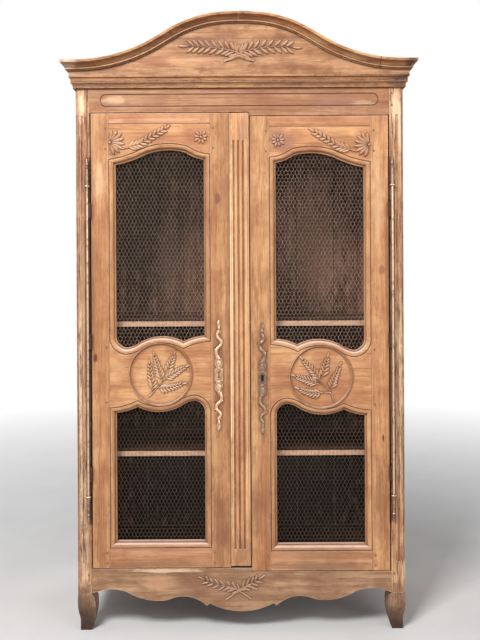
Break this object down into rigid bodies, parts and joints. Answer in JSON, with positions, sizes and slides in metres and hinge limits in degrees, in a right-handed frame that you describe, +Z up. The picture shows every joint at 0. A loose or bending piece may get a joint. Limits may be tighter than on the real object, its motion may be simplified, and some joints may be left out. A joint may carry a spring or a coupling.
{
  "type": "armoire cabinet",
  "caption": "Tall two-door armoire with a bonnet cornice, wire netting in the doors, carved rails, a scalloped apron and curved front feet.",
  "frame": {"origin": "on the floor, under the middle of the bounding box", "axes": "+X to the right seen from the front, +Y away from the front, +Z up"},
  "size_m": [1.396, 0.55, 2.43],
  "materials": {
    "waxed_wood": "waxed pine, satin",
    "inner_wood": "unwaxed aged pine, matt",
    "peg_wood": "dark end grain",
    "steel": "worn forged steel",
    "wire": "dull twisted wire"
  },
  "bodies": {
    "carcass": {"apron_rail": "waxed_wood", "back_boards": "inner_wood", "carcass_pegs": "peg_wood", "cornice_base_front": "waxed_wood", "cornice_base_sides": "waxed_wood", "crest_board": "waxed_wood", "crown_returns": "waxed_wood", "dust_panel": "inner_wood", "floor_panel": "inner_wood", "frieze_rail": "waxed_wood", "front_feet": "waxed_wood", "hinge_pintles": "steel", "left_crown_moulding": "waxed_wood", "left_front_post": "waxed_wood", "left_rear_post": "waxed_wood", "left_side_bottom_rail": "waxed_wood", "left_side_lower_panel": "waxed_wood", "left_side_middle_rail": "waxed_wood", "left_side_top_rail": "waxed_wood", "left_side_upper_panel": "waxed_wood", "rear_bottom_rail": "inner_wood", "rear_top_rail": "inner_wood", "right_crown_moulding": "waxed_wood", "right_front_post": "waxed_wood", "right_rear_post": "waxed_wood", "right_side_bottom_rail": "waxed_wood", "right_side_lower_panel": "waxed_wood", "right_side_middle_rail": "waxed_wood", "right_side_top_rail": "waxed_wood", "right_side_upper_panel": "waxed_wood", "shelf_cleats": "inner_wood", "shelves": "inner_wood"},
    "left_leaf": {"left_bottom_rail": "waxed_wood", "left_door_pegs": "peg_wood", "left_escutcheon": "steel", "left_hinge_rod": "steel", "left_hinge_stile": "waxed_wood", "left_leaf_staples": "steel", "left_lock_stile": "waxed_wood", "left_lower_netting": "wire", "left_middle_rail": "waxed_wood", "left_top_rail": "waxed_wood", "left_top_strip": "waxed_wood", "left_upper_netting": "wire", "meeting_strip": "waxed_wood"},
    "right_leaf": {"lock_case": "steel", "right_bottom_rail": "waxed_wood", "right_door_pegs": "peg_wood", "right_escutcheon": "steel", "right_hinge_rod": "steel", "right_hinge_stile": "waxed_wood", "right_lock_stile": "waxed_wood", "right_lower_netting": "wire", "right_middle_rail": "waxed_wood", "right_top_rail": "waxed_wood", "right_top_strip": "waxed_wood", "right_upper_netting": "wire"},
    "lock_bolt": {"lock_bolt": "steel"},
    "top_bolt": {"top_bolt": "steel"},
    "bottom_bolt": {"bottom_bolt": "steel"}
  },
  "joints": [
    {"name": "left_leaf_hinge", "type": "hinge", "parent": "carcass", "child": "left_leaf", "pos_m": [-0.601, -0.234, 1.1435], "axis": [0, 0, -1], "range_deg": [0, 175]},
    {"name": "right_leaf_hinge", "type": "hinge", "parent": "carcass", "child": "right_leaf", "pos_m": [0.601, -0.234, 1.1435], "axis": [0, 0, 1], "range_deg": [0, 175]},
    {"name": "lock_bolt_slide", "type": "slide", "parent": "right_leaf", "child": "lock_bolt", "axis": [-1, 0, 0], "range_m": [0, 0.018]},
    {"name": "top_bolt_slide", "type": "slide", "parent": "left_leaf", "child": "top_bolt", "axis": [0, 0, 1], "range_m": [0, 0.024]},
    {"name": "bottom_bolt_slide", "type": "slide", "parent": "left_leaf", "child": "bottom_bolt", "axis": [0, 0, -1], "range_m": [0, 0.024]}
  ]
}
